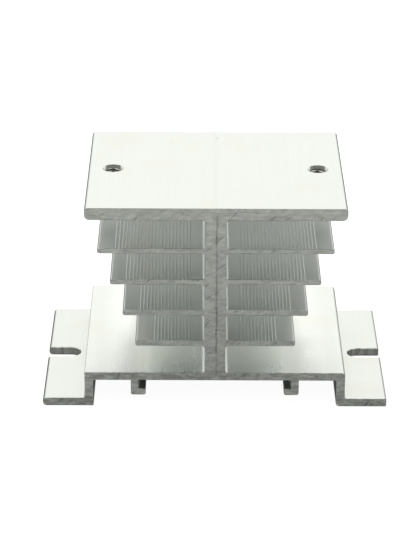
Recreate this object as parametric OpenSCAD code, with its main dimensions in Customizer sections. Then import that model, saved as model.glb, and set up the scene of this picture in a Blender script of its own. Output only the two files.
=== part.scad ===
// Extruded heat sink for a panel-mount relay.
// One aluminium extrusion: a flat top plate for the relay, a thick web with four pairs of ribbed fins, and a
// base with two slotted feet and two hooks that slide onto a 35 mm rail.
// X runs from foot to foot, Y along the extrusion, Z up. The origin is under the middle of the feet.

/* [Overall] */
// Cut length of the extrusion
length = 50; // [20:1:200]
// Height from the feet to the face that the relay sits on
height = 49.6; // [42:0.2:90]
// Width across both feet
foot_span = 80; // [74:0.5:120]

/* [Mounting plate] */
// Width of the top plate
plate_w = 59.6; // [56:0.2:72]
// Thickness of the top plate
plate_t = 3; // [2:0.1:5]
// Rounding of the plate's upper long edges
plate_top_r = 0.8; // [0:0.1:1.4]
// Rounding of the plate's lower long edges
plate_bottom_r = 1.2; // [0:0.1:1.4]

/* [Relay screw holes] */
// Distance between the two tapped holes
screw_pitch = 48; // [20:0.1:50]
// Bore that the M4 thread is cut in
tap_d = 3.3; // [2.5:0.1:4.2]
// Mouth of the countersink on each hole
countersink_d = 5; // [4.4:0.1:6]

/* [Web and fins] */
// Thickness of the web
web_t = 4.8; // [3:0.1:8]
// Number of fins on each side of the web
fin_count = 4; // [1:1:5]
// Distance between fins, centre to centre
fin_pitch = 7.65; // [4:0.05:10]
// Thickness of the top fin
fin_t = 1.2; // [0.8:0.1:2]
// How much thicker each fin is than the one above it
fin_t_step = 0.09; // [0:0.01:0.2]
// Width across the top pair of fins, tip to tip
fin_span = 53.9; // [40:0.1:58]
// How much further in each fin tip is than the one above it
fin_step = 2.85; // [0:0.05:4]
// Rounding of the fin tips
fin_tip_r = 0.5; // [0:0.05:0.8]
// Fillet between the web and the fins, plate and deck
web_fillet = 0.8; // [0.2:0.1:1.2]

/* [Fin ribs] */
// Distance between the lengthwise ribs on top of each fin
rib_pitch = 0.8; // [0.6:0.05:2]
// Width of each rib at its foot
rib_w = 0.5; // [0.2:0.05:0.55]
// Height of each rib above the fin
rib_h = 0.1; // [0.05:0.01:0.3]
// Plain band between the web and the first rib
rib_root_gap = 3.5; // [1.5:0.1:6]
// Plain band between the last rib and the fin tip
rib_tip_gap = 3.7; // [1:0.1:6]

/* [Base] */
// Width of the raised deck
deck_w = 60.5; // [54:0.5:72]
// Thickness of the deck
deck_t = 2; // [1.5:0.1:4]
// Height of the deck's underside above the surface the feet stand on
deck_rise = 6.6; // [6:0.1:12]
// Thickness of the upright wall of each foot
foot_wall_t = 2.05; // [1.5:0.05:3]
// Thickness of the flat flange of each foot
flange_t = 2.05; // [1.5:0.05:3]
// Fillet inside the bends of the feet
foot_fillet = 0.5; // [0:0.1:1]

/* [Foot corners] */
// Rounding of the left foot's outer end
left_end_r = 0.9; // [0:0.05:0.9]
// Rounding of the right foot's outer end
right_end_r = 0.25; // [0:0.05:0.9]
// Rounding under the left foot's wall, on its inner side
left_heel_r = 0.25; // [0:0.05:0.9]
// Rounding under the right foot's wall, on its inner side
right_heel_r = 0.9; // [0:0.05:0.9]
// Rounding of the deck's edge above the left foot
left_shoulder_r = 0.25; // [0:0.05:0.9]
// Rounding of the deck's edge above the right foot
right_shoulder_r = 0.8; // [0:0.05:0.9]

/* [Foot slots] */
// Width of the open-ended slot in each foot
slot_w = 5.1; // [3:0.1:8]
// Depth of the slot from the outer edge to its round end
slot_depth = 7.75; // [5:0.05:8]

/* [Rail hooks] */
// Width of the rail that the hooks hold
rail_w = 35; // [25:0.5:40]
// Free play between the rail and the two hook walls together
rail_play = 0.4; // [0.2:0.1:1]
// Height of the channel between the deck and the hook lip
hook_gap = 2.1; // [1.2:0.1:3]
// Thickness of the hook wall
hook_wall_t = 1.8; // [1.2:0.1:3]
// How far the lip reaches in from the hook wall, under the rail
hook_lip = 1.65; // [1:0.05:3]
// Thickness of the lip
hook_lip_t = 1.65; // [1:0.05:2.5]
// Rounding of the hook's outer corners
hook_r = 0.5; // [0:0.1:0.7]
// Rounding inside the channel and on top of the lip
hook_inner_r = 0.2; // [0:0.05:0.4]

/* [Hidden] */
arc_steps = 4;      // straight steps in each rounded corner
rib_steps = 4;      // straight steps over each rounded rib
cut_past = 1;       // how far a cutting tool runs past the face it cuts
$fn = 48;

deck_top = deck_rise + deck_t;
plate_bottom = height - plate_t;
fin_mid = (deck_top + plate_bottom) / 2;
hook_in = (rail_w + rail_play) / 2;
hook_top = deck_rise - hook_gap;
hook_bottom = hook_top - hook_lip_t;
slot_r = slot_w / 2;
slot_end_x = foot_span / 2 - slot_depth + slot_r;

// A corner radius that leaves a flat between the two corners of a wall this thick
function within(r, wall) = min(r, 0.45 * wall);

// Fin k, counted from the bottom: its thickness, reach from the centre plane, underside and upper face
function fin_thick(k) = fin_t + (fin_count - 1 - k) * fin_t_step;
function fin_reach(k) = fin_span / 2 - (fin_count - 1 - k) * fin_step;
function fin_low(k) = fin_mid + (k - (fin_count - 1) / 2) * fin_pitch - fin_thick(k) / 2;
function fin_high(k) = fin_low(k) + fin_thick(k);
function fin_tip(k) = within(fin_tip_r, fin_thick(k));
function fin_rib_zone(k) = fin_reach(k) - rib_tip_gap - web_t / 2 - rib_root_gap;
function fin_rib_count(k) = max(0, floor(fin_rib_zone(k) / rib_pitch) + 1);

// Rounded ribs on the upper face of fin k, listed from the tip to the root
function rib_points(k) = [
    for (j = [fin_rib_count(k) - 1:-1:0], s = [0:rib_steps])
        let (x = web_t / 2 + rib_root_gap + j * rib_pitch, a = 180 * s / rib_steps)
        [x + rib_w / 2 * cos(a), fin_high(k) + rib_h * sin(a), 0]
];

// Outline of fin k from its root underside round the tip to its root upper side
function fin_points(k) = concat(
    [[web_t / 2, fin_low(k), web_fillet],
     [fin_reach(k), fin_low(k), fin_tip(k)],
     [fin_reach(k), fin_high(k), fin_tip(k)]],
    rib_points(k),
    [[web_t / 2, fin_high(k), web_fillet]]
);

hook_points = [
    [hook_in, deck_rise, 0],
    [hook_in, hook_top, hook_inner_r],
    [hook_in - hook_lip, hook_top, within(hook_inner_r, hook_lip_t)],
    [hook_in - hook_lip, hook_bottom, within(hook_r, hook_lip_t)],
    [hook_in + hook_wall_t, hook_bottom, hook_r],
    [hook_in + hook_wall_t, deck_rise, 0]
];

function foot_points(end_r, heel_r, shoulder_r) = [
    [deck_w / 2 - foot_wall_t, deck_rise, foot_fillet],
    [deck_w / 2 - foot_wall_t, 0, within(heel_r, min(foot_wall_t, flange_t))],
    [foot_span / 2, 0, within(end_r, flange_t)],
    [foot_span / 2, flange_t, within(end_r, flange_t)],
    [deck_w / 2, flange_t, foot_fillet],
    [deck_w / 2, deck_top, within(shoulder_r, min(foot_wall_t, deck_t))]
];

plate_points = [
    [web_t / 2, plate_bottom, web_fillet],
    [plate_w / 2, plate_bottom, within(plate_bottom_r, plate_t)],
    [plate_w / 2, height, within(plate_top_r, plate_t)]
];

// Half of the section, from under the deck round to the top of the plate: [x, z, corner radius]
function half_section(foot) = concat(
    hook_points,
    foot,
    [[web_t / 2, deck_top, web_fillet]],
    [for (k = [0:fin_count - 1]) each fin_points(k)],
    plate_points
);
right_half = half_section(foot_points(right_end_r, right_heel_r, right_shoulder_r));
left_half = half_section(foot_points(left_end_r, left_heel_r, left_shoulder_r));
section = concat(
    right_half,
    [for (i = [len(left_half) - 1:-1:0]) [-left_half[i].x, left_half[i].y, left_half[i].z]]
);

function flat(p) = [p.x, p.y];
function unit(v) = v / norm(v);
function turn(from, to) = let (d = to - from) d > 180 ? d - 360 : d < -180 ? d + 360 : d;

// Corner b between its neighbours a and c, as an arc of the radius held in b's third value
function corner(a, b, c) =
    b.z == 0 ? [flat(b)] :
    let (
        u = unit(flat(a) - flat(b)),
        v = unit(flat(c) - flat(b)),
        half = acos(u * v) / 2,
        centre = flat(b) + unit(u + v) * b.z / sin(half),
        start = flat(b) + u * b.z / tan(half) - centre,
        end = flat(b) + v * b.z / tan(half) - centre,
        first = atan2(start.y, start.x),
        sweep = turn(first, atan2(end.y, end.x))
    )
    [for (s = [0:arc_steps])
        let (angle = first + sweep * s / arc_steps)
        centre + b.z * [cos(angle), sin(angle)]];

function rounded(path) = [
    for (i = [0:len(path) - 1])
        each corner(path[(i + len(path) - 1) % len(path)], path[i], path[(i + 1) % len(path)])
];

// Tapping bore and countersink, cut down from the relay face
module screw_hole() {
    countersink_h = (countersink_d - tap_d) / 2;
    translate([0, 0, plate_bottom - cut_past])
        cylinder(h = plate_t + 2 * cut_past, d = tap_d);
    translate([0, 0, height - countersink_h])
        cylinder(h = countersink_h + cut_past, d1 = tap_d, d2 = countersink_d + 2 * cut_past);
}

// Slot with a round inner end, open at the right foot's outer edge
module foot_slot() {
    slot_h = flange_t + 2 * cut_past;
    translate([slot_end_x, 0, -cut_past])
        cylinder(h = slot_h, r = slot_r);
    translate([slot_end_x, -slot_r, -cut_past])
        cube([foot_span / 2 - slot_end_x + cut_past, slot_w, slot_h]);
}

module heat_sink() {
    color("silver")
        difference() {
            rotate([90, 0, 0])
                linear_extrude(height = length, center = true)
                    polygon(rounded(section));
            for (side = [-1, 1])
                translate([side * screw_pitch / 2, 0, 0])
                    screw_hole();
            foot_slot();
            mirror([1, 0, 0])
                foot_slot();
        }
}

heat_sink();
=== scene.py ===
import math

import bpy
from mathutils import Matrix, Vector


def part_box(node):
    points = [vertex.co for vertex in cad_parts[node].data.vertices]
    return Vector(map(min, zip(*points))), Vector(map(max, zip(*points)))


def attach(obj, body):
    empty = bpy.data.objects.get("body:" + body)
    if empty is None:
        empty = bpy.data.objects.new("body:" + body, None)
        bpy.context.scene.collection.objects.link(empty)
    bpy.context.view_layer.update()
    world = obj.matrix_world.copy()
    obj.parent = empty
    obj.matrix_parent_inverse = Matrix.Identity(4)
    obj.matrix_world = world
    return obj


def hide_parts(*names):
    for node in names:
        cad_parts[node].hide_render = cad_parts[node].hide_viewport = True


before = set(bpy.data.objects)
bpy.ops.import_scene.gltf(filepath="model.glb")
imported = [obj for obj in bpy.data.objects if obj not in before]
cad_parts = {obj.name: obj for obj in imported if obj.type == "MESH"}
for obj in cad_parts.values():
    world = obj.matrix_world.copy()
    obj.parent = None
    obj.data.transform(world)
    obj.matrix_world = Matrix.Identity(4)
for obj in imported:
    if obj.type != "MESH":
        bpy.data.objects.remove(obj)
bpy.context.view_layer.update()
print("frame loaded")

mm = 0.001
scene = bpy.context.scene
sinkLow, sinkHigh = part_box("heat_sink")
width, length, height = (sinkHigh - sinkLow) / mm    # foot to foot, cut length, feet to relay face


# Shorthand for building node trees: add() makes a node and fills its inputs, calc() is a Math node

def nodeMaker(tree):
    def feed(socket, value):
        if isinstance(value, bpy.types.NodeSocket):
            tree.links.new(value, socket)
        elif isinstance(value, bpy.types.Node):
            tree.links.new(value.outputs[0], socket)
        else:
            socket.default_value = value

    def add(kind, inputs=None, **settings):
        node = tree.nodes.new(kind)
        for key, value in settings.items():
            setattr(node, key, value)
        for key, value in (inputs or {}).items():
            for one in (value if isinstance(value, list) else [value]):    # a list fills a multi-input
                feed(node.inputs[key], one)
        return node

    def calc(operation, *values):
        return add("ShaderNodeMath", dict(enumerate(values)), operation=operation).outputs[0]

    return add, calc


def newGroup(name, kind, inputs, outputs):
    tree = bpy.data.node_groups.new(name, kind)
    for label, socketType, value in inputs:
        socket = tree.interface.new_socket(label, in_out="INPUT", socket_type=socketType)
        if value is not None:
            socket.default_value = value
    for label, socketType in outputs:
        tree.interface.new_socket(label, in_out="OUTPUT", socket_type=socketType)
    return tree, tree.nodes.new("NodeGroupInput").outputs, tree.nodes.new("NodeGroupOutput").inputs


def applyTree(piece, tree, values):
    modifier = piece.modifiers.new(tree.name, "NODES")
    modifier.node_group = tree
    for item in tree.interface.items_tree:
        if item.in_out == "INPUT" and item.name in values:
            modifier[item.identifier] = values[item.name]
    evaluated = piece.evaluated_get(bpy.context.evaluated_depsgraph_get())
    made = bpy.data.meshes.new_from_object(evaluated)
    for i in reversed(range(len(made.materials))):
        if made.materials[i] is None:
            made.materials.pop(index=i)
    piece.modifiers.remove(modifier)
    piece.data = made


# Section of the extrusion, in millimetres: the plate, web, fins, deck, feet and hooks are one outline

plate = {"width": 59.6, "thick": 3.0, "topRadius": 0.8, "bottomRadius": 1.2}
web = {"thick": 4.8, "fillet": 0.8}
fins = {
    "count": 4, "pitch": 7.65, "topThick": 1.2, "thicker": 0.09,    # each fin is thicker than the one above
    "span": 53.9, "step": 2.85, "tipRadius": 0.5,
}
ribs = {"pitch": 0.8, "height": 0.1, "skirt": 0.25, "rootGap": 3.5, "tipGap": 3.7}
deck = {"width": 60.5, "thick": 2.0, "rise": 6.6}
foot = {"wall": 2.05, "flange": 2.05, "fillet": 0.5}
leftCorners = {"end": 0.9, "heel": 0.25, "shoulder": 0.25}    # the feet left the die with unlike corners
rightCorners = {"end": 0.25, "heel": 0.9, "shoulder": 0.8}
hook = {
    "railWidth": 35.0, "play": 0.4, "gap": 2.1, "wall": 1.8,
    "lip": 1.65, "lipThick": 1.65, "radius": 0.5, "innerRadius": 0.2,
}
outlineSteps = {"plain": 0.3, "ribbed": 0.05, "corner": 8}    # spacing of points, and steps in a corner

deckTop = deck["rise"] + deck["thick"]
plateBottom = height - plate["thick"]


def finThick(k):
    return fins["topThick"] + (fins["count"] - 1 - k) * fins["thicker"]


def finReach(k):
    return fins["span"] / 2 - (fins["count"] - 1 - k) * fins["step"]


def finLow(k):
    middle = (deckTop + plateBottom) / 2
    return middle + (k - (fins["count"] - 1) / 2) * fins["pitch"] - finThick(k) / 2


def halfOutline(corners):
    hookIn = (hook["railWidth"] + hook["play"]) / 2
    hookTop = deck["rise"] - hook["gap"]
    hookLow = hookTop - hook["lipThick"]
    path = [    # x, z and corner radius, from under the deck round to the top plate
        (hookIn, deck["rise"], 0),
        (hookIn, hookTop, hook["innerRadius"]),
        (hookIn - hook["lip"], hookTop, hook["innerRadius"]),
        (hookIn - hook["lip"], hookLow, hook["radius"]),
        (hookIn + hook["wall"], hookLow, hook["radius"]),
        (hookIn + hook["wall"], deck["rise"], 0),
        (deck["width"] / 2 - foot["wall"], deck["rise"], foot["fillet"]),
        (deck["width"] / 2 - foot["wall"], 0, corners["heel"]),
        (width / 2, 0, corners["end"]),
        (width / 2, foot["flange"], corners["end"]),
        (deck["width"] / 2, foot["flange"], foot["fillet"]),
        (deck["width"] / 2, deckTop, corners["shoulder"]),
        (web["thick"] / 2, deckTop, web["fillet"]),
    ]
    for k in range(fins["count"]):
        low, high = finLow(k), finLow(k) + finThick(k)
        tip = min(fins["tipRadius"], 0.45 * finThick(k))    # leaves a flat on the tip
        path += [
            (web["thick"] / 2, low, web["fillet"]),
            (finReach(k), low, tip),
            (finReach(k), high, tip),
            (web["thick"] / 2, high, web["fillet"]),
        ]
    path += [
        (web["thick"] / 2, plateBottom, web["fillet"]),
        (plate["width"] / 2, plateBottom, plate["bottomRadius"]),
        (plate["width"] / 2, height, plate["topRadius"]),
    ]
    return path


def roundCorner(before, corner, after):
    at, radius = Vector(corner[:2]), corner[2]
    if radius == 0:
        return [at]
    u = (Vector(before[:2]) - at).normalized()
    v = (Vector(after[:2]) - at).normalized()
    half = u.angle(v) / 2
    centre = at + (u + v).normalized() * radius / math.sin(half)
    start = at + u * radius / math.tan(half) - centre
    end = at + v * radius / math.tan(half) - centre
    sweep = math.pi - 2 * half
    if start.x * end.y < start.y * end.x:
        sweep = -sweep
    first = math.atan2(start.y, start.x)
    points = []
    for step in range(outlineSteps["corner"] + 1):
        angle = first + sweep * step / outlineSteps["corner"]
        points.append(centre + radius * Vector((math.cos(angle), math.sin(angle))))
    return points


def ribPlace(a, b, x):    # how far along the ribs plus one pitch, or -1 on a plain stretch
    for k in range(fins["count"]):
        high = finLow(k) + finThick(k)
        if abs(a.y - high) < 1e-6 and abs(b.y - high) < 1e-6:
            first = web["thick"] / 2 + ribs["rootGap"]
            gaps = math.floor((finReach(k) - ribs["tipGap"] - first) / ribs["pitch"])
            along = abs(x) - first
            if -ribs["skirt"] <= along <= gaps * ribs["pitch"] + ribs["skirt"]:
                return along + ribs["pitch"]
    return -1.0


def outlinePoints():    # each point with its place along the ribs
    left = [(-x, z, radius) for x, z, radius in reversed(halfOutline(leftCorners))]
    path = halfOutline(rightCorners) + left
    corners = []
    for i, corner in enumerate(path):
        corners += roundCorner(path[i - 1], corner, path[(i + 1) % len(path)])
    points = []
    for i, a in enumerate(corners):
        b = corners[(i + 1) % len(corners)]
        ribbed = ribPlace(a, b, web["thick"] / 2 + ribs["rootGap"]) >= 0
        spacing = outlineSteps["ribbed"] if ribbed else outlineSteps["plain"]
        steps = max(1, round((b - a).length / spacing))
        for step in range(steps):
            point = a.lerp(b, step / steps)
            points.append((point, ribPlace(a, b, point.x)))
    return points


def sectionObject():
    points = outlinePoints()
    count = len(points)
    data = bpy.data.meshes.new("section")
    data.from_pydata(
        [(point.x * mm, point.y * mm, 0) for point, along in points],
        [(i, (i + 1) % count) for i in range(count)], [])
    outward = []
    for i in range(count):
        tangent = (points[(i + 1) % count][0] - points[i - 1][0]).normalized()
        outward += [tangent.y, -tangent.x, 0]
    ribAlong = data.attributes.new("ribAlong", "FLOAT", "POINT")
    ribAlong.data.foreach_set("value", [along * mm for point, along in points])
    data.attributes.new("outward", "FLOAT_VECTOR", "POINT").data.foreach_set("vector", outward)
    body = bpy.data.objects.new("heatSinkBody", data)
    scene.collection.objects.link(body)
    return body


finishCode = {"skin": 0, "thread": 1, "slot": 2}    # which tool made each face


def marked(add, geometry, code):    # notes the finish on every face of a piece of geometry
    return add(
        "GeometryNodeStoreNamedAttribute",
        {"Geometry": geometry, "Name": "finish", "Value": finishCode[code]},
        data_type="INT", domain="FACE").outputs[0]


# Tapped holes: the thread is cut by a cylinder whose radius follows the helix

screwHole = {
    "Hole Pitch": 48.0, "Minor Diameter": 3.3, "Major Diameter": 4.05, "Lead": 0.7, "Mouth": 5.0,
    "Lower Mouth": 4.2, "Plate Thickness": plate["thick"], "Relay Face": height, "Hole Overrun": 0.3,
}
threadMesh = {"sides": 64, "steps": 84}


def sizeInputs(sizes):    # sizes in millimetres as group inputs in metres
    return [(label, "NodeSocketFloat", value * mm) for label, value in sizes.items()]


def threadCutter():
    tree, given, result = newGroup(
        "threadCutter", "GeometryNodeTree",
        [("Side", "NodeSocketFloat", 1.0), ("Start Turn", "NodeSocketFloat", 0.0)] + sizeInputs(screwHole),
        [("Geometry", "NodeSocketGeometry")])
    add, calc = nodeMaker(tree)
    depth = calc("ADD", given["Plate Thickness"], calc("MULTIPLY", given["Hole Overrun"], 2.0))
    rod = add("GeometryNodeMeshCylinder", {
        "Vertices": threadMesh["sides"], "Side Segments": threadMesh["steps"], "Radius": 1.0, "Depth": depth})
    at = add("ShaderNodeSeparateXYZ", {0: add("GeometryNodeInputPosition")}).outputs
    halfPlate = calc("MULTIPLY", given["Plate Thickness"], 0.5)
    down = calc("SUBTRACT", halfPlate, at["Z"])    # depth below the relay face

    # one flank in, one flank out for every turn
    turn = calc("DIVIDE", calc("ARCTAN2", at["Y"], at["X"]), math.tau)
    phase = calc("ADD", calc("ADD", calc("DIVIDE", down, given["Lead"]), turn), given["Start Turn"])
    flank = calc("PINGPONG", phase, 0.5)
    cut = calc("MULTIPLY", flank, calc("SUBTRACT", given["Major Diameter"], given["Minor Diameter"]))
    thread = calc("ADD", cut, calc("MULTIPLY", given["Minor Diameter"], 0.5))

    # a countersink at each mouth
    upper = calc("SUBTRACT", calc("MULTIPLY", given["Mouth"], 0.5), down)
    up = calc("SUBTRACT", down, given["Plate Thickness"])
    lower = calc("ADD", up, calc("MULTIPLY", given["Lower Mouth"], 0.5))
    radius = calc("MAXIMUM", thread, calc("MAXIMUM", upper, lower))

    aside = calc("MULTIPLY", calc("MULTIPLY", given["Hole Pitch"], 0.5), given["Side"])
    x = calc("ADD", calc("MULTIPLY", at["X"], radius), aside)
    z = calc("SUBTRACT", given["Relay Face"], down)
    place = add("ShaderNodeCombineXYZ", {"X": x, "Y": calc("MULTIPLY", at["Y"], radius), "Z": z})
    shaped = add("GeometryNodeSetPosition", {"Geometry": rod, "Position": place})
    tree.links.new(marked(add, shaped, "thread"), result["Geometry"])
    return tree


# Open slots in the feet, milled with a round inner end and a deburred rim

slot = {
    "Slot Width": 5.1, "Slot Depth": 7.75, "Flange Thickness": foot["flange"], "Foot Span": width,
    "Slot Chamfer": 0.14, "Chatter": 0.14, "Slot Overrun": 0.4,
}
slotMesh = {"sides": 96, "steps": 28}


def slotCutter():
    tree, given, result = newGroup(
        "slotCutter", "GeometryNodeTree",
        [("Side", "NodeSocketFloat", 1.0), ("Seed", "NodeSocketFloat", 0.0)] + sizeInputs(slot),
        [("Geometry", "NodeSocketGeometry")])
    add, calc = nodeMaker(tree)
    radius = calc("MULTIPLY", given["Slot Width"], 0.5)
    straight = calc("SUBTRACT", given["Slot Depth"], radius)
    straight = calc("ADD", straight, calc("MULTIPLY", given["Slot Overrun"], 2.0))
    depth = calc("ADD", given["Flange Thickness"], calc("MULTIPLY", given["Slot Overrun"], 2.0))
    halfFlange = calc("MULTIPLY", given["Flange Thickness"], 0.5)
    rod = add("GeometryNodeMeshCylinder", {
        "Vertices": slotMesh["sides"], "Side Segments": slotMesh["steps"], "Radius": 1.0, "Depth": depth})
    position = add("GeometryNodeInputPosition")
    at = add("ShaderNodeSeparateXYZ", {0: position}).outputs
    level = calc("ABSOLUTE", at["Z"])    # distance from the middle of the flange
    rim = calc("SUBTRACT", level, calc("SUBTRACT", halfFlange, given["Slot Chamfer"]))
    rim = calc("MAXIMUM", rim, 0.0)

    # the mill chatters against the wall
    spot = add("ShaderNodeVectorMath", {0: position, 1: (9.0, 9.0, 1e3)}, operation="MULTIPLY")
    noise = add("ShaderNodeTexNoise", {
        "Vector": spot, "W": given["Seed"], "Scale": 0.55, "Detail": 2.0}, noise_dimensions="4D").outputs[0]
    chatter = calc("MULTIPLY", calc("SUBTRACT", noise, 0.5), given["Chatter"])
    reach = calc("ADD", calc("ADD", rim, chatter), radius)

    # points past the round end are spread along the two straight walls
    angle = calc("ABSOLUTE", calc("ARCTAN2", at["Y"], at["X"]))
    share = calc("MAXIMUM", calc("SUBTRACT", 1.0, calc("DIVIDE", angle, math.pi / 2)), 0.0)
    isWall = calc("GREATER_THAN", share, 1e-4)
    isEnd = calc("SUBTRACT", 1.0, isWall)
    xWall = calc("MULTIPLY", calc("MULTIPLY", share, straight), isWall)
    xEnd = calc("MULTIPLY", calc("MULTIPLY", at["X"], reach), isEnd)
    yWall = calc("MULTIPLY", calc("SIGN", at["Y"]), isWall)
    y = calc("MULTIPLY", calc("ADD", yWall, calc("MULTIPLY", at["Y"], isEnd)), reach)

    centre = calc("SUBTRACT", calc("MULTIPLY", given["Foot Span"], 0.5), given["Slot Depth"])
    x = calc("ADD", calc("ADD", xWall, xEnd), calc("ADD", centre, radius))
    place = add("ShaderNodeCombineXYZ", {
        "X": calc("MULTIPLY", x, given["Side"]), "Y": calc("MULTIPLY", y, given["Side"]),
        "Z": calc("ADD", at["Z"], halfFlange)})
    shaped = add("GeometryNodeSetPosition", {"Geometry": rod, "Position": place})
    tree.links.new(marked(add, shaped, "slot"), result["Geometry"])
    return tree


# The whole extrusion: ribs, cut length, sawn ends, then the holes and slots

cutLength = {
    "Length": length, "Rib Pitch": ribs["pitch"], "Rib Height": ribs["height"], "Rib Skirt": ribs["skirt"],
}
sawCut = {"Ragged": 0.05, "Chamfer": 0.06, "Bevel Length": 0.12}
stationCount = 9    # cross-sections along the length


def extrusionTree(threadTree, slotTree):
    inputs = [("Section", "NodeSocketGeometry", None)]
    inputs += sizeInputs({**cutLength, **sawCut, **screwHole, **slot})
    inputs += [
        ("Stations", "NodeSocketInt", stationCount),
        ("Grain", "NodeSocketFloat", 1.1), ("Seed", "NodeSocketFloat", 3.0),
        ("Mill Finish", "NodeSocketMaterial", None), ("Sawn Face", "NodeSocketMaterial", None),
        ("Thread Wall", "NodeSocketMaterial", None), ("Slot Wall", "NodeSocketMaterial", None),
    ]
    tree, given, result = newGroup(
        "extrudedHeatSink", "GeometryNodeTree", inputs, [("Geometry", "NodeSocketGeometry")])
    add, calc = nodeMaker(tree)

    # ribs, worn round by the die, raise the points of the fins' upper faces
    along = add("GeometryNodeInputNamedAttribute", {"Name": "ribAlong"}, data_type="FLOAT").outputs[0]
    turns = calc("DIVIDE", along, given["Rib Pitch"])
    off = calc("MULTIPLY", calc("SUBTRACT", turns, calc("ROUND", turns)), given["Rib Pitch"])
    share = calc("MINIMUM", calc("ABSOLUTE", calc("DIVIDE", off, given["Rib Skirt"])), 1.0)
    rise = calc("MULTIPLY", calc("ADD", calc("COSINE", calc("MULTIPLY", share, math.pi)), 1.0), 0.5)
    lift = calc("MULTIPLY", calc("MULTIPLY", rise, given["Rib Height"]), calc("GREATER_THAN", along, 0.0))
    ribbed = add("GeometryNodeSetPosition", {
        "Geometry": given["Section"], "Offset": add("ShaderNodeCombineXYZ", {"Y": lift})})

    # the cut length, with its stations crowded towards the two sawn ends
    line = add("GeometryNodeMeshLine", {"Count": given["Stations"], "Offset": (0, 0, 1)})
    index = add("GeometryNodeInputIndex").outputs[0]
    share = calc("DIVIDE", index, calc("SUBTRACT", given["Stations"], 1.0))
    centred = calc("SUBTRACT", calc("MULTIPLY", share, 2.0), 1.0)
    half = calc("MULTIPLY", given["Length"], 0.5)
    oneStation = calc("DIVIDE", 2.0, calc("SUBTRACT", given["Stations"], 1.0))
    crowding = calc("LOGARITHM", calc("DIVIDE", given["Bevel Length"], half), oneStation)
    inner = calc("POWER", calc("SUBTRACT", 1.0, calc("ABSOLUTE", centred)), crowding)
    place = calc("MULTIPLY", calc("SUBTRACT", 1.0, inner), calc("SIGN", centred))
    stations = add("GeometryNodeSetPosition", {
        "Geometry": line, "Position": add("ShaderNodeCombineXYZ", {"Z": calc("MULTIPLY", place, half)})})
    swept = add("GeometryNodeCurveToMesh", {
        "Curve": add("GeometryNodeMeshToCurve", {"Mesh": stations}),
        "Profile Curve": add("GeometryNodeMeshToCurve", {"Mesh": ribbed}), "Fill Caps": True})

    # the saw leaves a small bevel and a slightly ragged rim
    position = add("GeometryNodeInputPosition")
    fromMiddle = calc("ABSOLUTE", add("ShaderNodeSeparateXYZ", {0: position}).outputs["Z"])
    fromEnd = calc("SUBTRACT", half, fromMiddle)
    atEnd = calc("LESS_THAN", fromEnd, 1e-6)
    inMm = add("ShaderNodeVectorMath", {0: position, "Scale": 1 / mm}, operation="SCALE")
    noise = add("ShaderNodeTexNoise", {
        "Vector": inMm, "W": given["Seed"], "Scale": given["Grain"], "Detail": 3.0}, noise_dimensions="4D")
    rough = calc("MULTIPLY", calc("SUBTRACT", calc("MULTIPLY", noise, 2.0), 1.0), given["Ragged"])
    outward = add("GeometryNodeInputNamedAttribute", {"Name": "outward"}, data_type="FLOAT_VECTOR")
    upward = add("ShaderNodeSeparateXYZ", {0: outward}).outputs["Y"]
    below = calc("MAXIMUM", calc("MULTIPLY", upward, -1.0), 0.0)    # the saw breaks out on the lower faces
    bevel = calc("MULTIPLY", given["Chamfer"], calc("ADD", calc("MULTIPLY", below, 1.2), 1.0))
    push = calc("MULTIPLY", calc("SUBTRACT", rough, bevel), atEnd)
    pushed = add("ShaderNodeVectorMath", {0: outward, "Scale": push}, operation="SCALE")
    sawn = add("GeometryNodeSetPosition", {"Geometry": swept, "Offset": pushed})
    laid = add("GeometryNodeTransform", {"Geometry": sawn, "Rotation": (math.pi / 2, 0, 0)})

    # drill, tap and mill
    hole = {label: given[label] for label in screwHole}
    opening = {label: given[label] for label in slot}
    tools = [
        add("GeometryNodeGroup", {"Side": 1.0, "Start Turn": 0.1, **hole}, node_tree=threadTree),
        add("GeometryNodeGroup", {"Side": -1.0, "Start Turn": 0.62, **hole}, node_tree=threadTree),
        add("GeometryNodeGroup", {"Side": 1.0, "Seed": 2.0, **opening}, node_tree=slotTree),
        add("GeometryNodeGroup", {"Side": -1.0, "Seed": 7.0, **opening}, node_tree=slotTree),
    ]
    drilled = add(
        "GeometryNodeMeshBoolean",
        {"Mesh 1": marked(add, laid, "skin"), "Mesh 2": [tool.outputs[0] for tool in tools]},
        operation="DIFFERENCE", solver="MANIFOLD")

    # smooth faces with crisp edges
    angle = add("GeometryNodeInputMeshEdgeAngle").outputs["Unsigned Angle"]
    smooth = add("GeometryNodeSetShadeSmooth", {"Geometry": drilled.outputs[0], "Shade Smooth": True})
    at = add("ShaderNodeSeparateXYZ", {0: add("GeometryNodeInputPosition")}).outputs
    bevelStart = calc("SUBTRACT", half, given["Bevel Length"])
    behindBevel = calc("COMPARE", calc("ABSOLUTE", at["Y"]), bevelStart, 2e-5)
    sharp = calc("MAXIMUM", behindBevel, calc("GREATER_THAN", angle, math.radians(32)))
    crisp = add(
        "GeometryNodeSetShadeSmooth", {"Geometry": smooth, "Selection": sharp, "Shade Smooth": False},
        domain="EDGE")

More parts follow.
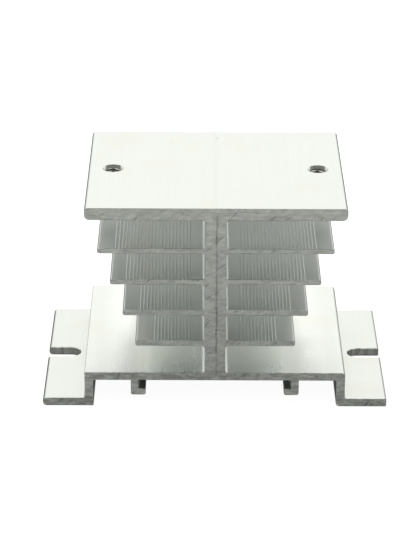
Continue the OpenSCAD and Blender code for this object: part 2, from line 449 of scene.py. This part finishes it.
    # each finish on its own faces
    real = add("GeometryNodeRealizeInstances", {"Geometry": crisp})
    finish = add("GeometryNodeInputNamedAttribute", {"Name": "finish"}, data_type="INT").outputs[0]
    normal = add("ShaderNodeSeparateXYZ", {0: add("GeometryNodeInputNormal")}).outputs
    facing = calc("ABSOLUTE", normal["Y"])
    end = calc("MULTIPLY", calc("GREATER_THAN", facing, 0.6), calc("LESS_THAN", finish, 0.5))
    done = add("GeometryNodeSetMaterial", {"Geometry": real, "Material": given["Mill Finish"]})
    done = add(
        "GeometryNodeSetMaterial", {"Geometry": done, "Selection": end, "Material": given["Sawn Face"]})
    for code, label in (("thread", "Thread Wall"), ("slot", "Slot Wall")):
        chosen = calc("COMPARE", finish, finishCode[code], 0.1)
        done = add(
            "GeometryNodeSetMaterial", {"Geometry": done, "Selection": chosen, "Material": given[label]})
    tree.links.new(done.outputs[0], result["Geometry"])
    return tree


# Finishes: shared effects are shader groups that read the object's own coordinates in metres

millFinish = {
    "colour": (0.79, 0.812, 0.797), "stain": (0.80, 0.805, 0.76), "roughness": 0.29, "anisotropy": 0.85,
    # the fin, deck and foot levels are painted shade and painted light, set against the plate
    "linesPerMm": 5.0, "plateShade": 0.95, "finPaintedShade": 0.91, "deckPaintedLight": 0.97, "footPaintedShade": 0.93,
    "bandPaintedLight": 0.21, "paintedEdgeShade": 0.72, "paintedHighlight": 0.3,    # painted light on the deck beside the fins, painted shade on rounded edges, painted highlight on the web fillets
    "bandPaintedLightAt": 17.0, "bandPaintedLightWidth": 10.0, "broadLines": 0.07, "fineLines": 0.05,
}
topDent = {"x": 0.5, "y": 20.5, "radius": 0.7, "shade": 0.2}
sawnFinish = {
    "colour": (0.80, 0.812, 0.775), "stain": (0.80, 0.80, 0.77), "roughness": 0.5,
    "bladeRadius": 150.0, "slope": -36.0, "marksPerMm": 2.2,
    "paintedLowShade": 0.09, "paintedUprightLight": 0.16, "gouge": 0.3,    # painted shade on the deck and below, painted light on the upright walls, deep marks
}
flowLine = {"x": 0.25, "width": 0.3, "sway": 0.5, "solid": 18.6, "gone": 20.6, "shade": 0.42}
threadFinish = {
    "colour": (0.78, 0.79, 0.75), "stain": (0.60, 0.60, 0.55), "roughness": 0.28,
    "dark": 0.22, "paintedHighlight": 0.95,
}
slotFinish = {
    "colour": (0.84, 0.86, 0.84), "stain": (0.7, 0.7, 0.66), "roughness": 0.36, "chatter": 1.3, "fresh": 0.3,
}


def dieLinesGroup():    # fine lines and broad streaks that run the length of an extrusion
    tree, given, result = newGroup(
        "dieLines", "ShaderNodeTree",
        [("Place", "NodeSocketVector", None), ("Lines per mm", "NodeSocketFloat", 5.0),
         ("Broad per mm", "NodeSocketFloat", 0.5)],
        [("Fine", "NodeSocketFloat"), ("Broad", "NodeSocketFloat")])
    add = nodeMaker(tree)[0]
    drawn = add("ShaderNodeVectorMath", {0: given["Place"], 1: (1e3, 9.0, 1e3)}, operation="MULTIPLY")
    fine = add("ShaderNodeTexNoise", {"Vector": drawn, "Scale": given["Lines per mm"], "Detail": 3.0})
    broad = add("ShaderNodeTexNoise", {"Vector": drawn, "Scale": given["Broad per mm"], "Detail": 2.0})
    tree.links.new(fine.outputs[0], result["Fine"])
    tree.links.new(broad.outputs[0], result["Broad"])
    return tree


def sawMarksGroup():    # arcs left by a round blade, broken up along their length
    tree, given, result = newGroup(
        "sawMarks", "ShaderNodeTree",
        [("Place", "NodeSocketVector", None), ("Blade Radius", "NodeSocketFloat", 150.0),
         ("Slope", "NodeSocketFloat", -36.0), ("Marks per mm", "NodeSocketFloat", 2.0)],
        [("Marks", "NodeSocketFloat"), ("Mottle", "NodeSocketFloat"), ("Gouges", "NodeSocketFloat")])
    add, calc = nodeMaker(tree)
    spot = add("ShaderNodeVectorMath", {0: given["Place"], "Scale": 1e3}, operation="SCALE")
    sway = add("ShaderNodeTexNoise", {"Vector": spot, "Scale": 0.3, "Detail": 1.0}, noise_dimensions="3D")
    at = add("ShaderNodeSeparateXYZ", {0: spot}).outputs
    slope = calc("RADIANS", given["Slope"])
    across = calc("SUBTRACT", at["X"], calc("MULTIPLY", given["Blade Radius"], calc("COSINE", slope)))
    up = calc("SUBTRACT", at["Z"], calc("MULTIPLY", given["Blade Radius"], calc("SINE", slope)))
    reach = calc("SQRT", calc("ADD", calc("MULTIPLY", across, across), calc("MULTIPLY", up, up)))
    reach = calc("ADD", reach, calc("MULTIPLY", sway, 0.7))
    turn = calc("MULTIPLY", calc("ARCTAN2", up, across), given["Blade Radius"])
    swept = add("ShaderNodeCombineXYZ", {
        "X": calc("MULTIPLY", reach, given["Marks per mm"]), "Y": calc("MULTIPLY", turn, 0.32), "Z": at["Y"]})
    marks = add("ShaderNodeTexNoise", {"Vector": swept, "Scale": 1.0, "Detail": 3.0, "Roughness": 0.6})
    level = add("ShaderNodeVectorMath", {0: spot, 1: (0.45, 1.0, 1.3)}, operation="MULTIPLY")
    mottle = add("ShaderNodeTexNoise", {"Vector": level, "Scale": 1.3, "Detail": 4.0, "Roughness": 0.62})
    deep = add("ShaderNodeMapRange", {
        "Value": add("ShaderNodeTexNoise", {"Vector": swept, "Scale": 0.6, "Detail": 1.0}),
        "From Min": 0.66, "From Max": 0.72, "To Min": 0.0, "To Max": 1.0})
    tree.links.new(marks.outputs[0], result["Marks"])
    tree.links.new(mottle.outputs[0], result["Mottle"])
    tree.links.new(deep.outputs[0], result["Gouges"])
    return tree


def handlingGroup():    # hairline scratches, small pits and greasy patches
    tree, given, result = newGroup(
        "handlingWear", "ShaderNodeTree",
        [("Place", "NodeSocketVector", None), ("Scratches", "NodeSocketFloat", 0.6),
         ("Pits", "NodeSocketFloat", 0.5)],
        [("Scratch", "NodeSocketFloat"), ("Pit", "NodeSocketFloat"), ("Smudge", "NodeSocketFloat")])
    add, calc = nodeMaker(tree)
    spot = add("ShaderNodeVectorMath", {0: given["Place"], "Scale": 1e3}, operation="SCALE")
    marks = None
    for angle, scale in ((24, (0.05, 4.2, 4.2)), (-51, (0.07, 3.6, 3.6))):    # degrees from +X, and stretch
        turned = add(
            "ShaderNodeMapping", {"Vector": spot, "Rotation": (0, 0, math.radians(angle)), "Scale": scale})
        noise = add("ShaderNodeTexNoise", {"Vector": turned, "Scale": 1.0, "Detail": 0.0})
        line = add("ShaderNodeMapRange", {
            "Value": noise, "From Min": 0.76, "From Max": 0.80, "To Min": 0.0, "To Max": 1.0}).outputs[0]
        marks = line if marks is None else calc("MAXIMUM", marks, line)
    cells = add("ShaderNodeTexVoronoi", {"Vector": spot, "Scale": 0.42}).outputs
    size = calc("MULTIPLY", add("ShaderNodeSeparateColor", {0: cells["Color"]}).outputs[0], 0.12)
    pit = add("ShaderNodeMapRange", {
        "Value": calc("SUBTRACT", calc("SUBTRACT", size, 0.05), cells["Distance"]),
        "From Min": -0.02, "From Max": 0.02, "To Min": 0.0, "To Max": 1.0})
    smudge = add("ShaderNodeTexNoise", {"Vector": spot, "Scale": 0.09, "Detail": 2.0})
    tree.links.new(calc("MULTIPLY", marks, given["Scratches"]), result["Scratch"])
    tree.links.new(calc("MULTIPLY", pit, given["Pits"]), result["Pit"])
    tree.links.new(smudge.outputs[0], result["Smudge"])
    return tree


def newMetal(name, finish):
    material = bpy.data.materials.new(name)
    material.use_nodes = True
    tree = material.node_tree
    shader = tree.nodes["Principled BSDF"]
    shader.inputs["Metallic"].default_value = 1.0
    add, calc = nodeMaker(tree)
    place = add("ShaderNodeTexCoord").outputs["Object"]

    def wire(shade, stained, roughness, bumps, distance):    # colours times a shade, roughness and bumps
        grey = add("ShaderNodeCombineColor", {0: shade, 1: shade, 2: shade})
        colour = add(
            "ShaderNodeMix", {0: stained, 6: (*finish["colour"], 1), 7: (*finish["stain"], 1)},
            data_type="RGBA").outputs[2]
        shaded = add("ShaderNodeMix", {0: 1.0, 6: colour, 7: grey}, data_type="RGBA", blend_type="MULTIPLY")
        tree.links.new(shaded.outputs[2], shader.inputs["Base Color"])
        tree.links.new(roughness, shader.inputs["Roughness"])
        bump = add("ShaderNodeBump", {"Height": bumps, "Strength": 1.0, "Distance": distance})
        tree.links.new(bump.outputs[0], shader.inputs["Normal"])

    return material, add, calc, place, wire


def band(add, value, low, high):    # 1 below low, fading to 0 at high
    return add("ShaderNodeMapRange", {
        "Value": value, "From Min": low, "From Max": high, "To Min": 1.0, "To Max": 0.0}).outputs[0]


def patch(add, value, low, high):    # 0 below low, rising to 1 at high
    return add("ShaderNodeMapRange", {
        "Value": value, "From Min": low, "From Max": high, "To Min": 0.0, "To Max": 1.0}).outputs[0]


def total(calc, start, parts):    # start plus each mask times its weight
    for mask, weight in parts:
        start = calc("ADD", start, calc("MULTIPLY", mask, weight))
    return start


def makeMillFinish(dieLines, handling):
    material, add, calc, place, wire = newMetal("millFinish", millFinish)
    lines = add(
        "ShaderNodeGroup", {"Place": place, "Lines per mm": millFinish["linesPerMm"]},
        node_tree=dieLines).outputs
    wear = add("ShaderNodeGroup", {"Place": place, "Scratches": 0.2, "Pits": 0.4}, node_tree=handling).outputs
    at = add("ShaderNodeSeparateXYZ", {0: place}).outputs

    # the web leaves a faint streak down the middle of the relay face, with one dent near its end
    onFace = calc("GREATER_THAN", at["Z"], (height - 0.2) * mm)
    streak = calc("MULTIPLY", band(add, calc("ABSOLUTE", at["X"]), 0.1 * mm, 0.9 * mm), onFace)
    dentPlace = add(
        "ShaderNodeVectorMath", {0: place, 1: (topDent["x"] * mm, topDent["y"] * mm, height * mm)},
        operation="DISTANCE")
    dent = band(add, dentPlace.outputs["Value"], 0.15 * mm, topDent["radius"] * mm)

    # painted shade darkens the fins and the feet against the plate, and painted light brightens the deck,
    # most beside the lowest fin's tips
    aside = calc("ABSOLUTE", at["X"])
    aboveDeck = patch(add, at["Z"], (deckTop + 0.2) * mm, (deckTop + 1.2) * mm)
    underPlate = band(add, at["Z"], (plateBottom - 0.4) * mm, (plateBottom + 0.6) * mm)
    onFins = calc("MULTIPLY", aboveDeck, underPlate)
    onFoot = calc("GREATER_THAN", aside, (deck["width"] / 2 + 0.3) * mm)
    onDeck = calc("SUBTRACT", calc("SUBTRACT", 1.0, aboveDeck), onFoot)
    # a band of painted light on the deck, centred a set distance out from the web
    fromBandPaintedLight = calc("ABSOLUTE", calc("SUBTRACT", aside, millFinish["bandPaintedLightAt"] * mm))
    bandOfPaintedLight = band(add, fromBandPaintedLight, 1.0 * mm, millFinish["bandPaintedLightWidth"] * mm)
    plateShade = millFinish["plateShade"]
    base = calc("ADD", plateShade, calc("MULTIPLY", onFins, millFinish["finPaintedShade"] - plateShade))
    bandPaintedLight = calc("MULTIPLY", bandOfPaintedLight, millFinish["bandPaintedLight"])
    deckLevel = calc("ADD", millFinish["deckPaintedLight"] - plateShade, bandPaintedLight)
    base = calc("ADD", base, calc("MULTIPLY", onDeck, deckLevel))
    base = calc("ADD", base, calc("MULTIPLY", onFoot, millFinish["footPaintedShade"] - plateShade))

    broad = calc("SUBTRACT", lines["Broad"], 0.5)
    fine = calc("SUBTRACT", lines["Fine"], 0.5)
    exposed = calc("ADD", calc("MULTIPLY", onFace, 0.9), 0.1)    # other faces are knocked far less
    pit = calc("MULTIPLY", wear["Pit"], exposed)
    scratch = calc("MULTIPLY", wear["Scratch"], exposed)
    shade = total(calc, base, (
        (broad, millFinish["broadLines"]), (fine, millFinish["fineLines"]), (streak, -0.03),
        (dent, -topDent["shade"]), (pit, -0.3)))

    # painted shade on the outer part of each rounded edge and round the feet's ends, and along the back rim,
    # where noise breaks it into dark nicks
    normal = add("ShaderNodeSeparateXYZ", {0: add("ShaderNodeTexCoord").outputs["Normal"]}).outputs
    lean = calc("ABSOLUTE", normal["X"])
    rounded = calc("MULTIPLY", patch(add, lean, 0.4, 0.7), band(add, lean, 0.985, 0.999))
    facesOut = calc("GREATER_THAN", calc("MULTIPLY", normal["X"], at["X"]), 0.0)
    nearWeb = band(add, aside, 3.4 * mm, 4.0 * mm)
    edge = calc("MULTIPLY", calc("MULTIPLY", facesOut, rounded), calc("SUBTRACT", 1.0, nearWeb))
    edge = calc("MULTIPLY", edge, calc("SUBTRACT", 1.0, calc("MULTIPLY", onDeck, 0.5)))
    footRim = calc("MULTIPLY", patch(add, aside, (width / 2 - 0.42) * mm, (width / 2 - 0.3) * mm),
                   patch(add, normal["Z"], 0.2, 0.5))
    edge = calc("MAXIMUM", edge, calc("MULTIPLY", footRim, 0.75))
    chipped = add("ShaderNodeTexNoise", {"Vector": place, "Scale": 330.0, "Detail": 2.0}).outputs[0]
    chips = patch(add, chipped, 0.35, 0.6)
    backRim = calc("MULTIPLY", patch(add, at["Y"], (length / 2 - 0.45) * mm, (length / 2 - 0.2) * mm), chips)
    edge = calc("MAXIMUM", edge, calc("MULTIPLY", backRim, 0.45))
    shade = calc("SUBTRACT", shade, calc("MULTIPLY", edge, millFinish["paintedEdgeShade"]))

    # painted highlight on the web's fillets
    curved = calc("MULTIPLY", patch(add, lean, 0.15, 0.4), band(add, lean, 0.985, 0.999))
    inFillet = calc("MULTIPLY", nearWeb, curved)
    shade = calc("ADD", shade, calc("MULTIPLY", inFillet, millFinish["paintedHighlight"]))

    greasy = calc("MULTIPLY", calc("SUBTRACT", wear["Smudge"], 0.5), 0.16)
    rough = total(calc, calc("ADD", millFinish["roughness"], greasy), (
        (broad, 0.14), (scratch, 0.10), (onFins, 0.05), (inFillet, -0.1)))
    bumps = total(calc, calc("MULTIPLY", lines["Fine"], 0.5), (
        (lines["Broad"], 1.5), (scratch, -0.6), (pit, -2.0), (dent, -6.0)))
    wire(shade, patch(add, wear["Smudge"], 0.5, 0.8), rough, bumps, 0.002 * mm)
    shader = material.node_tree.nodes["Principled BSDF"]
    shader.inputs["Anisotropic"].default_value = millFinish["anisotropy"]
    around = add("ShaderNodeTangent", direction_type="RADIAL", axis="Y")
    material.node_tree.links.new(around.outputs[0], shader.inputs["Tangent"])
    return material


def makeSawnFace(sawMarks, handling):
    material, add, calc, place, wire = newMetal("sawnFace", sawnFinish)
    marks = add("ShaderNodeGroup", {
        "Place": place, "Blade Radius": sawnFinish["bladeRadius"], "Slope": sawnFinish["slope"],
        "Marks per mm": sawnFinish["marksPerMm"]}, node_tree=sawMarks).outputs
    wear = add("ShaderNodeGroup", {"Place": place, "Scratches": 0.4, "Pits": 1.0}, node_tree=handling).outputs
    at = add("ShaderNodeSeparateXYZ", {0: place}).outputs

    # a dark flow line runs down the middle of the web and fades out in the plate and the deck
    wobble = add("ShaderNodeTexNoise", {
        "Vector": add("ShaderNodeCombineXYZ", {"Z": at["Z"], "Y": at["Y"]}), "Scale": 420.0, "Detail": 2.0})
    sway = calc("MULTIPLY", calc("SUBTRACT", wobble, 0.5), flowLine["sway"] * mm)
    aside = calc("ADD", calc("SUBTRACT", at["X"], flowLine["x"] * mm), sway)
    line = band(add, calc("ABSOLUTE", aside), 0.08 * mm, flowLine["width"] * mm)
    middle = (deckTop + plateBottom) / 2
    fromMiddle = calc("ABSOLUTE", calc("SUBTRACT", at["Z"], middle * mm))
    ends = band(add, fromMiddle, flowLine["solid"] * mm, flowLine["gone"] * mm)
    broken = add("ShaderNodeMapRange", {
        "Value": add("ShaderNodeTexNoise", {"Vector": place, "Scale": 260.0, "Detail": 2.0}),
        "From Min": 0.3, "From Max": 0.62, "To Min": 0.35, "To Max": 1.0})
    line = calc("MULTIPLY", calc("MULTIPLY", line, ends), broken)

    low = band(add, at["Z"], (deckTop - 1.0) * mm, (deckTop + 3.0) * mm)    # 1 on the deck, feet and hooks
    contrast = calc("ADD", 0.8, calc("MULTIPLY", low, 0.6))
    # painted shade on the deck, feet and hooks, taken back by painted light on the upright walls
    shade = calc("ADD", calc("SUBTRACT", 1.02, calc("MULTIPLY", low, sawnFinish["paintedLowShade"])),
                 calc("MULTIPLY", calc("SUBTRACT", marks["Marks"], 0.5), 0.35))
    mottle = calc("MULTIPLY", calc("SUBTRACT", marks["Mottle"], 0.5), contrast)
    shade = calc("ADD", shade, calc("MULTIPLY", mottle, 1.2))
    aboveFlange = patch(add, at["Z"], 1.8 * mm, 2.6 * mm)
    upright = calc("MULTIPLY", aboveFlange, band(add, at["Z"], 5.6 * mm, 6.8 * mm))
    shade = total(calc, shade, (
        (upright, sawnFinish["paintedUprightLight"]), (marks["Gouges"], -sawnFinish["gouge"]),
        (line, -flowLine["shade"]), (wear["Pit"], -0.12)))
    uneven = calc("MULTIPLY", calc("SUBTRACT", marks["Mottle"], 0.5), 0.2)
    rough = calc("ADD", sawnFinish["roughness"], uneven)
    bumps = calc("ADD", calc("MULTIPLY", marks["Marks"], 0.5), marks["Mottle"])
    bumps = calc("SUBTRACT", bumps, calc("MULTIPLY", marks["Gouges"], 0.6))
    bumps = calc("SUBTRACT", bumps, line)
    wire(shade, patch(add, wear["Smudge"], 0.45, 0.6), rough, bumps, 0.05 * mm)
    return material


def makeThreadWall(handling):    # dark overall, with painted reflections on the crests and painted light on the countersink's sides
    material, add, calc, place, wire = newMetal("threadWall", threadFinish)
    wear = add("ShaderNodeGroup", {"Place": place, "Scratches": 0.3, "Pits": 0.3}, node_tree=handling).outputs
    drag = add("ShaderNodeVectorMath", {0: place, 1: (1.5e3, 1.5e3, 9e3)}, operation="MULTIPLY")
    torn = add("ShaderNodeTexNoise", {"Vector": drag, "Scale": 1.4, "Detail": 3.0})
    at = add("ShaderNodeSeparateXYZ", {0: place}).outputs
    axis = screwHole["Hole Pitch"] / 2 * mm
    aside = calc("ABSOLUTE", calc("SUBTRACT", calc("ABSOLUTE", at["X"]), axis))
    # painted light on the countersink's sides and painted reflection patches beside the crests
    side = patch(add, aside, 1.6 * mm, 2.0 * mm)
    flat = add("ShaderNodeCombineXYZ", {"X": aside, "Y": at["Y"]})
    radius = add("ShaderNodeVectorMath", {0: flat}, operation="LENGTH").outputs["Value"]
    crest = band(add, radius, 1.72 * mm, 1.85 * mm)
    offCrest = calc("ABSOLUTE", calc("SUBTRACT", aside, 0.9 * mm))
    crest = calc("MULTIPLY", crest, band(add, offCrest, 0.3 * mm, 0.7 * mm))
    paintedHighlight = calc("MAXIMUM", side, crest)
    brighter = calc("MULTIPLY", paintedHighlight, threadFinish["paintedHighlight"] - threadFinish["dark"])
    shade = calc("ADD", threadFinish["dark"], brighter)
    shade = calc("ADD", shade, calc("MULTIPLY", calc("SUBTRACT", torn, 0.5), 0.4))
    rough = calc("ADD", threadFinish["roughness"], calc("MULTIPLY", wear["Smudge"], 0.12))
    wire(shade, patch(add, wear["Smudge"], 0.4, 0.6), rough, torn.outputs[0], 0.03 * mm)
    return material


def makeSlotWall(handling):    # upright chatter marks with bright, freshly cut patches
    material, add, calc, place, wire = newMetal("slotWall", slotFinish)
    wear = add("ShaderNodeGroup", {"Place": place, "Scratches": 0.3, "Pits": 0.6}, node_tree=handling).outputs
    chop = add("ShaderNodeVectorMath", {0: place, 1: (5e3, 5e3, 0.7e3)}, operation="MULTIPLY")
    chatter = add("ShaderNodeTexNoise", {"Vector": chop, "Scale": 0.5, "Detail": 3.0})
    broad = add("ShaderNodeTexNoise", {"Vector": chop, "Scale": 0.17, "Detail": 1.0}).outputs[0]
    fresh = patch(add, broad, 0.48, 0.6)
    shade = calc("ADD", 1.05, calc("MULTIPLY", calc("SUBTRACT", chatter, 0.5), slotFinish["chatter"]))
    shade = calc("ADD", shade, calc("MULTIPLY", fresh, slotFinish["fresh"]))

    # painted shade towards the top and the round end
    at = add("ShaderNodeSeparateXYZ", {0: place}).outputs
    aside = calc("ABSOLUTE", at["X"])
    innerEnd = (width / 2 - slot["Slot Depth"]) * mm
    shade = calc("SUBTRACT", shade, calc("MULTIPLY", patch(add, at["Z"], 1.0 * mm, 2.0 * mm), 0.3))
    shade = calc("SUBTRACT", shade, calc("MULTIPLY", band(add, aside, innerEnd, innerEnd + 1.6 * mm), 0.25))
    shade = calc("SUBTRACT", shade, calc("MULTIPLY", wear["Pit"], 0.2))
    rough = calc("ADD", slotFinish["roughness"], calc("MULTIPLY", wear["Smudge"], 0.12))
    wire(shade, patch(add, wear["Smudge"], 0.4, 0.6), rough, chatter.outputs[0], 0.05 * mm)
    return material


dieLines, sawMarks, handling = dieLinesGroup(), sawMarksGroup(), handlingGroup()
print("finishes made")
body = sectionObject()
print("section made:", len(body.data.vertices), "points")
inMetres = {label: value * mm for label, value in {**cutLength, **sawCut, **screwHole, **slot}.items()}
applyTree(body, extrusionTree(threadCutter(), slotCutter()), {
    **inMetres, "Stations": stationCount,
    "Mill Finish": makeMillFinish(dieLines, handling), "Sawn Face": makeSawnFace(sawMarks, handling),
    "Thread Wall": makeThreadWall(handling), "Slot Wall": makeSlotWall(handling),
})
print("extrusion made:", len(body.data.polygons), "faces")
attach(body, "root")
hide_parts("heat_sink")


# Stage, light and camera

studio = {
    "floorPaintedShadow": 0.15, "floorFar": 0.38, "floorTint": (0.96, 1.0, 0.99), "floorSize": 4.0,
    "sky": 1.20, "skyTint": (1.0, 1.0, 0.955), "horizon": 0.75, "horizonTint": (0.95, 1.0, 0.99),
    "front": 0.65, "backdrop": 1.0,    # light left in front of the object, and the plain background
    "paintedGlowUnderDeck": 0.06,    # painted light: the paper glows between the hooks and the feet, seen only by rays other than the camera's
}


def makeFloor():    # white paper that is seen plain; to other rays it is grey with a painted shadow close to the object, and glows under the deck as painted light
    size = studio["floorSize"]
    low = sinkLow.z - 0.1 * mm
    data = bpy.data.meshes.new("floor")
    corners = [(-size, -size, low), (size, -size, low), (size, size, low), (-size, size, low)]
    data.from_pydata(corners, [], [(0, 1, 2, 3)])
    floor = bpy.data.objects.new("floor", data)
    scene.collection.objects.link(floor)
    paper = bpy.data.materials.new("paper")
    paper.use_nodes = True
    shader = paper.node_tree.nodes["Principled BSDF"]
    add, calc = nodeMaker(paper.node_tree)
    place = add("ShaderNodeTexCoord").outputs["Object"]
    away = add("ShaderNodeVectorMath", {0: place}, operation="LENGTH").outputs["Value"]
    # painted shadow: for rays other than the camera's the paper is darker grey close to the object
    grey = add("ShaderNodeMapRange", {
        "Value": away, "From Min": 20 * mm, "From Max": 170 * mm,
        "To Min": studio["floorPaintedShadow"], "To Max": studio["floorFar"]}).outputs[0]
    at = add("ShaderNodeSeparateXYZ", {0: place}).outputs
    aside = calc("ABSOLUTE", at["X"])
    alongside = calc("LESS_THAN", calc("ABSOLUTE", at["Y"]), length / 2 * mm)
    pastWall = calc("GREATER_THAN", aside, (deck["width"] / 2 - foot["wall"]) * mm)
    hookOut = (hook["railWidth"] + hook["play"]) / 2 + hook["wall"]
    pastHook = calc("GREATER_THAN", aside, hookOut * mm)
    paintedGlowUnderDeck = calc("MULTIPLY", calc("SUBTRACT", pastHook, pastWall), alongside)
    tint = add("ShaderNodeVectorMath", {0: studio["floorTint"], "Scale": grey}, operation="SCALE")
    seen = add("ShaderNodeLightPath").outputs["Is Camera Ray"]
    paper.node_tree.links.new(tint.outputs[0], shader.inputs["Base Color"])
    shader.inputs["Roughness"].default_value = 1.0
    shader.inputs["Specular IOR Level"].default_value = 0.0
    shader.inputs["Emission Color"].default_value = (1, 1, 1, 1)
    plain = calc("MULTIPLY", seen, 0.95)
    unseen = calc("SUBTRACT", 1.0, seen)
    # painted light: the paper under the deck glows for rays other than the camera's
    paintedGlow = calc("MULTIPLY", calc("MULTIPLY", unseen, paintedGlowUnderDeck), studio["paintedGlowUnderDeck"])
    paper.node_tree.links.new(calc("ADD", plain, paintedGlow), shader.inputs["Emission Strength"])
    data.materials.append(paper)


def makeWorld():
    world = bpy.data.worlds.new("studio")
    world.use_nodes = True
    tree = world.node_tree
    add, calc = nodeMaker(tree)
    toward = add("ShaderNodeSeparateXYZ", {0: add("ShaderNodeTexCoord").outputs["Generated"]}).outputs
    high = add("ShaderNodeMapRange", {
        "Value": toward["Z"], "From Min": 0.0, "From Max": 0.3, "To Min": 0.0, "To Max": 1.0},
        interpolation_type="SMOOTHSTEP").outputs[0]
    ahead = add("ShaderNodeMapRange", {
        "Value": toward["Y"], "From Min": -0.9, "From Max": 0.1, "To Min": studio["front"], "To Max": 1.0},
        interpolation_type="SMOOTHSTEP").outputs[0]
    level = calc("ADD", calc("MULTIPLY", high, studio["sky"] - studio["horizon"]), studio["horizon"])
    tint = add(
        "ShaderNodeMix", {0: high, 6: (*studio["horizonTint"], 1), 7: (*studio["skyTint"], 1)},
        data_type="RGBA")
    level = calc("MULTIPLY", level, ahead)
    lit = add("ShaderNodeVectorMath", {0: tint.outputs[2], "Scale": level}, operation="SCALE")
    seen = add("ShaderNodeLightPath").outputs["Is Camera Ray"]
    colour = add("ShaderNodeMix", {0: seen, 6: lit, 7: (*[studio["backdrop"]] * 3, 1)}, data_type="RGBA")
    back = tree.nodes["Background"]
    tree.links.new(colour.outputs[2], back.inputs["Color"])
    scene.world = world


view = {
    "place": (-4.738, -530.713, 252.788), "down": 23.275, "turn": 0.389, "roll": 0.396,    # mm and degrees
    "lens": 207.606,
}


def makeCamera():
    data = bpy.data.cameras.new("camera")
    data.lens = view["lens"]
    data.sensor_width = 36
    data.sensor_fit = "HORIZONTAL"
    data.clip_end = 20
    camera = bpy.data.objects.new("camera", data)
    scene.collection.objects.link(camera)
    turn = Matrix.Rotation(-math.radians(view["turn"]), 4, "Z")
    tilt = Matrix.Rotation(math.radians(90 - view["down"]), 4, "X")
    roll = Matrix.Rotation(math.radians(view["roll"]), 4, "Z")
    camera.matrix_world = Matrix.Translation(Vector(view["place"]) * mm) @ turn @ tilt @ roll
    scene.camera = camera


makeFloor()
makeWorld()
makeCamera()
print("stage made")
scene.view_settings.view_transform = "Standard"
